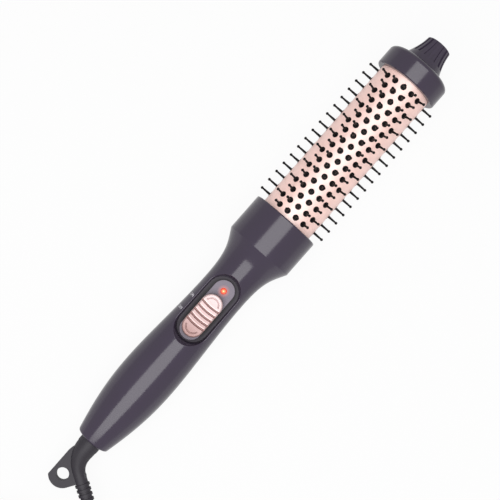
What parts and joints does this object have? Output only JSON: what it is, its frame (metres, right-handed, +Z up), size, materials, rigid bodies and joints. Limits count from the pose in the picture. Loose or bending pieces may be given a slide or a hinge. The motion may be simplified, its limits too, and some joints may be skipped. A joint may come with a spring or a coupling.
{
  "type": "curling iron brush",
  "caption": "Heated round hair brush with a perforated metal barrel, rows of cool pins, a cool tip, a round handle with a slide switch, and a swivelling cord with a hanging loop and a plug",
  "frame": {"origin": "bottom centre of the brush's own box, measured without the cord, on the surface it lies on", "axes": "+X from the cord end to the cool tip, in the plane in which the brush leans on its pins; +Z up, on the switch side; +Y to the left of +X"},
  "size_m": [0.5629, 0.0932, 0.0583],
  "materials": {
    "body_plastic": "satin, moulded",
    "inner_plastic": "matte, heat-proof",
    "pin_plastic": "matte",
    "barrel_coating": "satin, pearl pink coating",
    "spreader_aluminium": "as extruded",
    "heater_ceramic": "matte ceramic",
    "film": "amber film",
    "screw_steel": "zinc plated",
    "lead_insulation": "soft",
    "plate_plastic": "matte",
    "knob_coating": "rose metallic",
    "board": "laminate",
    "board_part": "matte",
    "lamp": "clear orange",
    "contact_brass": "bright",
    "soft_black": "matte, flexible",
    "tie_plastic": "soft",
    "blade_metal": "plated"
  },
  "bodies": {
    "brush": {"back_pin_row_1": "pin_plastic", "back_pin_row_2": "pin_plastic", "back_pin_row_3": "pin_plastic", "back_pin_row_4": "pin_plastic", "back_pin_row_5": "pin_plastic", "back_pin_row_6": "pin_plastic", "back_pin_row_7": "pin_plastic", "back_pin_row_8": "pin_plastic", "back_pin_row_9": "pin_plastic", "barrel": "barrel_coating", "barrel_base": "inner_plastic", "barrel_collar": "body_plastic", "board_parts": "board_part", "board_screws": "screw_steel", "circuit_board": "board", "contact_brushes": "contact_brass", "contact_carrier": "inner_plastic", "front_pin_row_1": "pin_plastic", "front_pin_row_2": "pin_plastic", "front_pin_row_3": "pin_plastic", "front_pin_row_4": "pin_plastic", "front_pin_row_5": "pin_plastic", "front_pin_row_6": "pin_plastic", "front_pin_row_7": "pin_plastic", "front_pin_row_8": "pin_plastic", "front_pin_row_9": "pin_plastic", "handle_front_shell": "body_plastic", "handle_rear_shell": "body_plastic", "heat_spreader_back": "spreader_aluminium", "heat_spreader_front": "spreader_aluminium", "heater_leads": "lead_insulation", "indicator_lens": "lamp", "insulating_films": "film", "left_pin_row": "pin_plastic", "pilot_led": "lamp", "ptc_heater": "heater_ceramic", "right_pin_row": "pin_plastic", "shell_screws": "screw_steel", "slide_switch": "board_part", "supply_leads": "lead_insulation", "switch_plate": "plate_plastic", "thermal_fuse": "screw_steel", "tip_cap": "body_plastic", "tip_plug": "inner_plastic", "tip_screws": "screw_steel"},
    "slider": {"switch_knob": "knob_coating", "switch_lever": "inner_plastic"},
    "swivel": {"strain_relief": "soft_black", "slip_ring_drum": "inner_plastic", "slip_rings": "contact_brass", "power_cord": "soft_black", "cord_coil": "soft_black", "cord_tie": "tie_plastic", "plug_body": "soft_black", "plug_blades": "blade_metal"}
  },
  "joints": [
    {"name": "switch_slide", "type": "slide", "parent": "brush", "child": "slider", "axis": [0.9987, 0, 0.0518], "range_m": [-0.0026, 0]},
    {"name": "cord_swivel", "type": "hinge", "parent": "brush", "child": "swivel", "pos_m": [-0.17006, 0, 0.01617], "axis": [0.9987, 0, 0.0518], "continuous": true}
  ]
}
